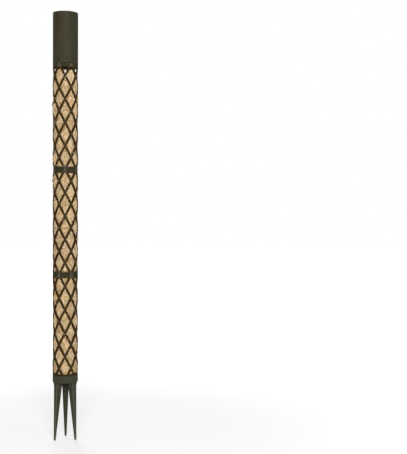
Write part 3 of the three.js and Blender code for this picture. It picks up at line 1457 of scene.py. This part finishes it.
@dataclass
class MoistureGuard:
    """Clear film that stands behind the moss of one tube."""

    tube: LatticeTube
    radius: float = 20.7 * MM
    thickness: float = 0.8 * MM
    wrap: float = math.radians(120)
    margin: float = 0.3 * MM
    skin: float = 0.12 * MM
    ripple: float = 0.1 * MM
    ripple_height: float = 22 * MM
    soft_edge: float = 0.15 * MM
    across: int = 36
    upright: int = 60

    def build(self) -> bpy.types.Object:
        """Model the film.

        Returns:
            The finished film, in place.
        """
        low = self.tube.foot.open + self.margin
        height = self.tube.fill_top - low
        Bench.clear()
        bpy.ops.mesh.primitive_grid_add(
            x_subdivisions=self.across, y_subdivisions=self.upright, size=1, rotation=(math.pi / 2, 0, 0)
        )
        film = Bench.named(f"guard_film_{self.tube.label}")
        bpy.ops.object.transform_apply(location=True, rotation=True, scale=True)
        for vertex in film.data.vertices:
            azimuth = BACK + vertex.co.x * self.wrap
            level = self.tube.level + low + (vertex.co.z + 0.5) * height
            wave = Vector((9 * azimuth, 0.7 * self.tube.index, level / self.ripple_height))
            ripple = self.ripple * noise.noise(wave)
            radius = self.radius + self.thickness / 2 - self.skin + ripple
            vertex.co = (radius * math.cos(azimuth), radius * math.sin(azimuth), level)
        Bench.modify(film, "SOLIDIFY", thickness=self.thickness - 2 * self.skin, offset=-1.0)
        Bench.bevel(film, self.soft_edge, segments=2, degrees=50)
        Bench.polish(film)
        return film

    def dress(self, material: bpy.types.Material) -> None:
        """Build the film and give it its finish."""
        Bench.dress(self.build(), material, self.tube.body, Slot.FILM, f"guard_{self.tube.label}")


@dataclass
class WateringCup:
    """Plain cup on top of the pole, with a spigot, a drip floor and the strands' relief around its foot."""

    level: float
    turn: float
    lattice: Lattice
    foot: Foot
    spigot_radius: float = 21.1 * MM
    spigot_bore: float = 19.4 * MM
    height: float = 100.0 * MM
    wall: float = 2.0 * MM
    floor: float = 2.0 * MM
    relief: float = 6.5 * MM
    taper: float = 3.0 * MM
    drip_radius: float = 1.5 * MM
    drip_circle: float = 10.0 * MM
    drips: int = 6
    soft_edge: float = 0.45 * MM
    strand_edge: float = 0.3 * MM
    strand_sink: float = 0.03 * MM
    strand_overlap: float = 0.9 * MM
    sides: int = 144
    drip_sides: int = 28

    def build(self) -> bpy.types.Object:
        """Model the cup.

        Returns:
            The finished cup, in place.
        """
        cup = self._shell()
        Bench.bevel(cup, self.soft_edge, segments=3, degrees=40)
        Bench.unite(cup, [self._strands()])
        Bench.cut(cup, [self._drip(index) for index in range(self.drips)])
        Bench.facet(cup)
        Bench.lift(cup, self.level)
        Bench.polish(cup)
        return cup

    def _shell(self) -> bpy.types.Object:
        """Turn the cup's wall, floor and spigot.

        Returns:
            The shell, with its middle drip hole.
        """
        outer = self.lattice.radius
        sunk = outer - self.lattice.recess
        bore = outer - self.wall
        foot = self.foot
        plain = foot.flange + self.relief
        corners = [
            (self.drip_radius, foot.spigot),
            (self.spigot_radius, foot.spigot),
            (self.spigot_radius, foot.flange),
            (sunk, foot.flange),
            (sunk, plain),
            (outer, plain),
            (outer, self.height),
            (bore, self.height),
            (bore, foot.open + self.taper),
            (self.spigot_bore, foot.open),
            (self.spigot_bore, foot.spigot + self.floor),
            (self.drip_radius, foot.spigot + self.floor),
        ]
        return Bench.turned("watering_cup_shell", corners, self.sides)

    def _strands(self) -> bpy.types.Object:
        """Model the strands' ends that stand out around the cup's foot.

        Returns:
            The strands, a hair inside the plain wall that they run into.
        """
        radius = self.lattice.radius - self.strand_sink
        lattice = replace(self.lattice, radius=radius, soft_edge=self.strand_edge)
        top = self.foot.flange + self.relief + self.strand_overlap
        return lattice.net("cup_strands", self.foot.flange, top, self.turn, (-1, 2))

    def _drip(self, index: int) -> bpy.types.Object:
        """Model the cutter of one drip hole.

        Args:
            index: Number of the hole around the floor.

        Returns:
            The cutter.
        """
        azimuth = FULL_TURN * index / self.drips
        middle = self.foot.spigot + self.floor / 2
        place = (self.drip_circle * math.cos(azimuth), self.drip_circle * math.sin(azimuth), middle)
        Bench.clear()
        bpy.ops.mesh.primitive_cylinder_add(
            vertices=self.drip_sides, radius=self.drip_radius, depth=2 * self.floor, location=place
        )
        bpy.ops.object.transform_apply(location=True, rotation=True, scale=True)
        return Bench.named("drip_cutter")

    def dress(self, material: bpy.types.Material) -> None:
        """Build the cup and give it its finish."""
        Bench.dress(self.build(), material, Body.TOP, Slot.PLASTIC, "watering_cup")


@dataclass
class GroundStake:
    """Collar with a drained floor and three tapered prongs."""

    radius: float = RADIUS
    bore: float = 21.4 * MM
    collar: float = 14.6 * MM
    chamfer: float = 1.5 * MM
    floor: float = 2.0 * MM
    drain: float = 8.0 * MM
    soft_edge: float = 0.4 * MM
    sides: int = 144
    prongs: int = PRONGS
    length: float = PRONG_LENGTH
    root: float = 1.75 * MM
    reach: float = PRONG_REACH
    splay: float = PRONG_SPLAY
    width: float = PRONG_WIDTH
    depth: float = 11.4 * MM
    tip_width: float = PRONG_TIP_WIDTH
    tip_depth: float = 2.4 * MM
    flare: float = 1.0 * MM
    flare_height: float = 6.0 * MM
    prong_edge: float = 0.5 * MM
    ridge_percent: float = 10.0

    def build(self) -> bpy.types.Object:
        """Model the stake.

        Returns:
            The finished stake, in place.
        """
        corners = [
            (self.drain, 0.0),
            (self.radius - self.chamfer, 0.0),
            (self.radius, self.chamfer),
            (self.radius, self.collar),
            (self.bore, self.collar),
            (self.bore, self.floor),
            (self.drain, self.floor),
        ]
        stake = Bench.turned("ground_stake", corners, self.sides)
        Bench.bevel(stake, self.soft_edge, segments=3, degrees=30)
        first = self._prong()
        others = []
        for index in range(1, self.prongs):
            copy = first.copy()
            copy.data = first.data.copy()
            bpy.context.collection.objects.link(copy)
            Bench.edit(copy)
            turn = FULL_TURN * index / self.prongs
            bpy.ops.transform.rotate(value=turn, orient_axis="Z", center_override=(0, 0, 0))
            bpy.ops.object.mode_set(mode="OBJECT")
            others.append(copy)
        Bench.unite(stake, [first, *others])
        Bench.facet(stake)
        Bench.polish(stake)
        return stake

    def _section(self, below: float) -> tuple[float, float, float]:
        """Give the taper of a prong.

        Args:
            below: Depth under the collar.

        Returns:
            The width, the depth and the reach of the outer face there.
        """
        share = below / self.length
        width = self.width + share * (self.tip_width - self.width)
        depth = self.depth + share * (self.tip_depth - self.depth)
        return width, depth, self.reach + share * self.splay

    def _prong(self) -> bpy.types.Object:
        """Model the prong at the back.

        Returns:
            The prong, flared at its root and tapered to its blunt tip.
        """
        Bench.clear()
        bpy.ops.mesh.primitive_cube_add(size=1, location=(0, 0, 0))
        prong = Bench.named("prong")
        width, depth = self.width + 2 * self.flare, self.depth + self.flare
        face = self.reach + self.flare
        Bench.edit(prong)
        bpy.ops.transform.resize(value=(width, depth, self.root), center_override=(0, 0, 0))
        bpy.ops.transform.translate(value=(0, face - depth / 2, self.root / 2))
        bpy.ops.object.mode_set(mode="OBJECT")
        Bench.pick_faces(prong, lambda normal, _: normal.z < -0.9)
        last = (width, depth, face, 0.0)
        for below in (self.flare_height, self.length):
            width, depth, face = self._section(below)
            step = (0, face - last[2], last[3] - below)
            bpy.ops.mesh.extrude_region_move(TRANSFORM_OT_translate={"value": step})
            shares = (width / last[0], depth / last[1], 1)
            bpy.ops.transform.resize(value=shares, center_override=(0, face, -below))
            last = (width, depth, face, below)
        bpy.ops.object.mode_set(mode="OBJECT")
        Bench.pick_edges(prong, self._on_ridge)
        bpy.ops.mesh.bevel(offset_type="PERCENT", offset_pct=self.ridge_percent, segments=5, affect="EDGES")
        bpy.ops.object.mode_set(mode="OBJECT")
        Bench.bevel(prong, self.prong_edge, segments=3, degrees=30)
        return prong

    def _on_ridge(self, one: Vector, other: Vector) -> bool:
        """Tell whether an edge runs along an outer corner of the prong."""
        upright = abs(one.z - other.z) > 0.5 * MM
        return upright and min(one.y, other.y) > self.reach - 0.1 * MM

    def dress(self, material: bpy.types.Material) -> None:
        """Build the stake and give it its finish."""
        Bench.dress(self.build(), material, Body.BASE, Slot.PLASTIC, "stake")


@dataclass(frozen=True)
class SoftLight:
    """One large studio lamp."""

    name: str
    place: Point
    size: float
    power: float
    aim: Point = (0.0, 0.0, 0.3)

    def build(self) -> None:
        """Hang the lamp."""
        data = bpy.data.lights.new(self.name, "AREA")
        data.shape = "DISK"
        data.size = self.size
        data.energy = self.power
        lamp = bpy.data.objects.new(self.name, data)
        bpy.context.collection.objects.link(lamp)
        lamp.location = self.place
        lamp.rotation_euler = (Vector(self.aim) - Vector(self.place)).to_track_quat("-Z", "Y").to_euler()


@dataclass(frozen=True)
class Studio:
    """Pale floor, white surroundings, soft lamps and the camera."""

    floor_level: float = -109.2 * MM
    floor_radius: float = 9.0
    floor_shade: float = 0.82
    floor_glow: float = 0.36
    ambient: float = 0.3
    mirrored: float = 0.2
    lens: float = 71.48
    distance: float = 1.75
    eye: float = 0.3359
    azimuth: float = math.radians(1.72)
    yaw: float = math.radians(8.71)
    roll: float = math.radians(-0.04)
    rise: float = -0.0446
    sensor: float = 36.0
    clip: Span = (0.05, 50.0)
    lamps: tuple[SoftLight, ...] = (
        SoftLight("key_lamp", (0.1, -2.6, 1.2), size=1.2, power=44.0),
        SoftLight("fill_lamp", (1.6, -1.4, 1.0), size=1.5, power=4.0),
        SoftLight("back_lamp", (-0.4, 2.3, 1.5), size=1.6, power=26.0),
    )

    def build(self) -> None:
        """Set the whole studio."""
        self._floor()
        self._world()
        self._camera()
        for lamp in self.lamps:
            lamp.build()
        bpy.context.scene.view_settings.view_transform = "Standard"

    def _seen(self, sheet: ShaderSheet) -> Wire:
        """Give 1 where a ray shows the surroundings and 0 where it lights the object."""
        camera, glossy, sent = (
            sheet.node("ShaderNodeLightPath", output=name)
            for name in ("Is Camera Ray", "Is Glossy Ray", "Is Transmission Ray")
        )
        return sheet.math("MAXIMUM", sheet.math("MAXIMUM", camera, glossy * self.mirrored), sent)

    def _floor(self) -> None:
        """Lay the floor, white to the camera with the object's soft shadow on it."""
        Bench.clear()
        bpy.ops.mesh.primitive_circle_add(
            vertices=96, radius=self.floor_radius, fill_type="NGON", location=(0, 0, self.floor_level)
        )
        floor = Bench.named("studio_floor")
        sheet = ShaderSheet.of_material("studio_floor")
        shade = (self.floor_shade,) * 3
        matt = sheet.node("ShaderNodeBsdfDiffuse", None, {"Color": (*shade, 1.0)})
        far = sheet.reach().ease(0.25, 1.6)
        glow = self._seen(sheet) * (self.floor_glow + far * (1 - self.floor_glow))
        glow = sheet.node("ShaderNodeEmission", None, {"Strength": glow})
        sheet.close(sheet.node("ShaderNodeAddShader", None, {0: matt, 1: glow}))
        floor.data.materials.append(sheet.material)

    def _world(self) -> None:
        """Surround the object with white for the eye and plain soft light for the object."""
        world = bpy.data.worlds.new("studio_world")
        bpy.context.scene.world = world
        world.use_nodes = True
        sheet = ShaderSheet(world.node_tree, "ShaderNodeOutputWorld")
        seen = self._seen(sheet)
        strength = seen + (1 - seen) * self.ambient
        sockets = {"Color": (1.0, 1.0, 1.0, 1.0), "Strength": strength}
        sheet.close(sheet.node("ShaderNodeBackground", None, sockets))

    def _camera(self) -> None:
        """Set up the camera at the photograph's viewing angle."""
        data = bpy.data.cameras.new("studio_camera")
        data.lens = self.lens
        data.sensor_width = self.sensor
        data.shift_y = self.rise
        data.clip_start, data.clip_end = self.clip
        camera = bpy.data.objects.new("studio_camera", data)
        bpy.context.collection.objects.link(camera)
        across, along = math.sin(self.azimuth), math.cos(self.azimuth)
        camera.location = (self.distance * across, -self.distance * along, self.eye)
        camera.rotation_euler = (math.pi / 2, self.roll, self.azimuth - self.yaw)
        bpy.context.scene.camera = camera


def main() -> None:
    """Load the frame, build every piece and set the studio."""
    logging.basicConfig(level=logging.INFO, format="%(name)s: %(message)s")
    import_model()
    cup_plastic = PrintedPlastic(
        "olive_brown_plastic",
        srgb(57, 46, 24),
        srgb(47, 50, 27),
        groove_shade=srgb(54, 50, 32),
        streaks=0.4,
    ).material()
    stake_plastic = StakePlastic("grey_olive_plastic", srgb(58, 56, 38), srgb(57, 59, 42)).material()
    tube_plastic = PrintedPlastic(
        "dark_brown_plastic",
        srgb(62, 40, 5),
        srgb(58, 42, 8),
        groove_shade=srgb(55, 53, 33),
        joint=srgb(76, 70, 54),
        patches=0.05,
        gloss=0.05,
    ).material()
    moss = DriedMoss().material()
    film = ClearFilm().material()
    on_stake = Foot(rim=7.6 * MM, floor=-5.0 * MM)
    on_tube = Foot(rim=2.0 * MM, floor=-6.0 * MM)
    GroundStake().dress(stake_plastic)
    tubes = [
        LatticeTube("lower", Body.LOWER, 0, on_stake),
        LatticeTube("middle", Body.MIDDLE, 1, on_tube),
        LatticeTube("upper", Body.UPPER, 2, on_tube),
    ]
    left, right = FRONT - math.radians(76), FRONT + math.radians(66)
    tufts = {
        Body.MIDDLE: [Tuft(left, 178 * MM, 3.0 * MM)],
        Body.UPPER: [
            Tuft(left, 121 * MM, 3.2 * MM),
            Tuft(left, 17 * MM, 3.0 * MM),
            Tuft(right, 168 * MM, 1.6 * MM, 5 * MM),
            Tuft(right, 128 * MM, 2.0 * MM),
        ],
    }
    for tube in tubes:
        tube.dress(tube_plastic)
        top = MossTop.LOOSE if tube.body is Body.UPPER else MossTop.PACKED
        MossFill(tube, top, tufts.get(tube.body, [])).dress(moss)
        MoistureGuard(tube).dress(film)
    head = tubes[-1]
    cup_level = head.level + head.lattice.module
    cup_turn = head.turn + head.lattice.twist
    WateringCup(cup_level, cup_turn, head.lattice, on_tube).dress(cup_plastic)
    Studio().build()


if __name__ == "__main__":
    main()
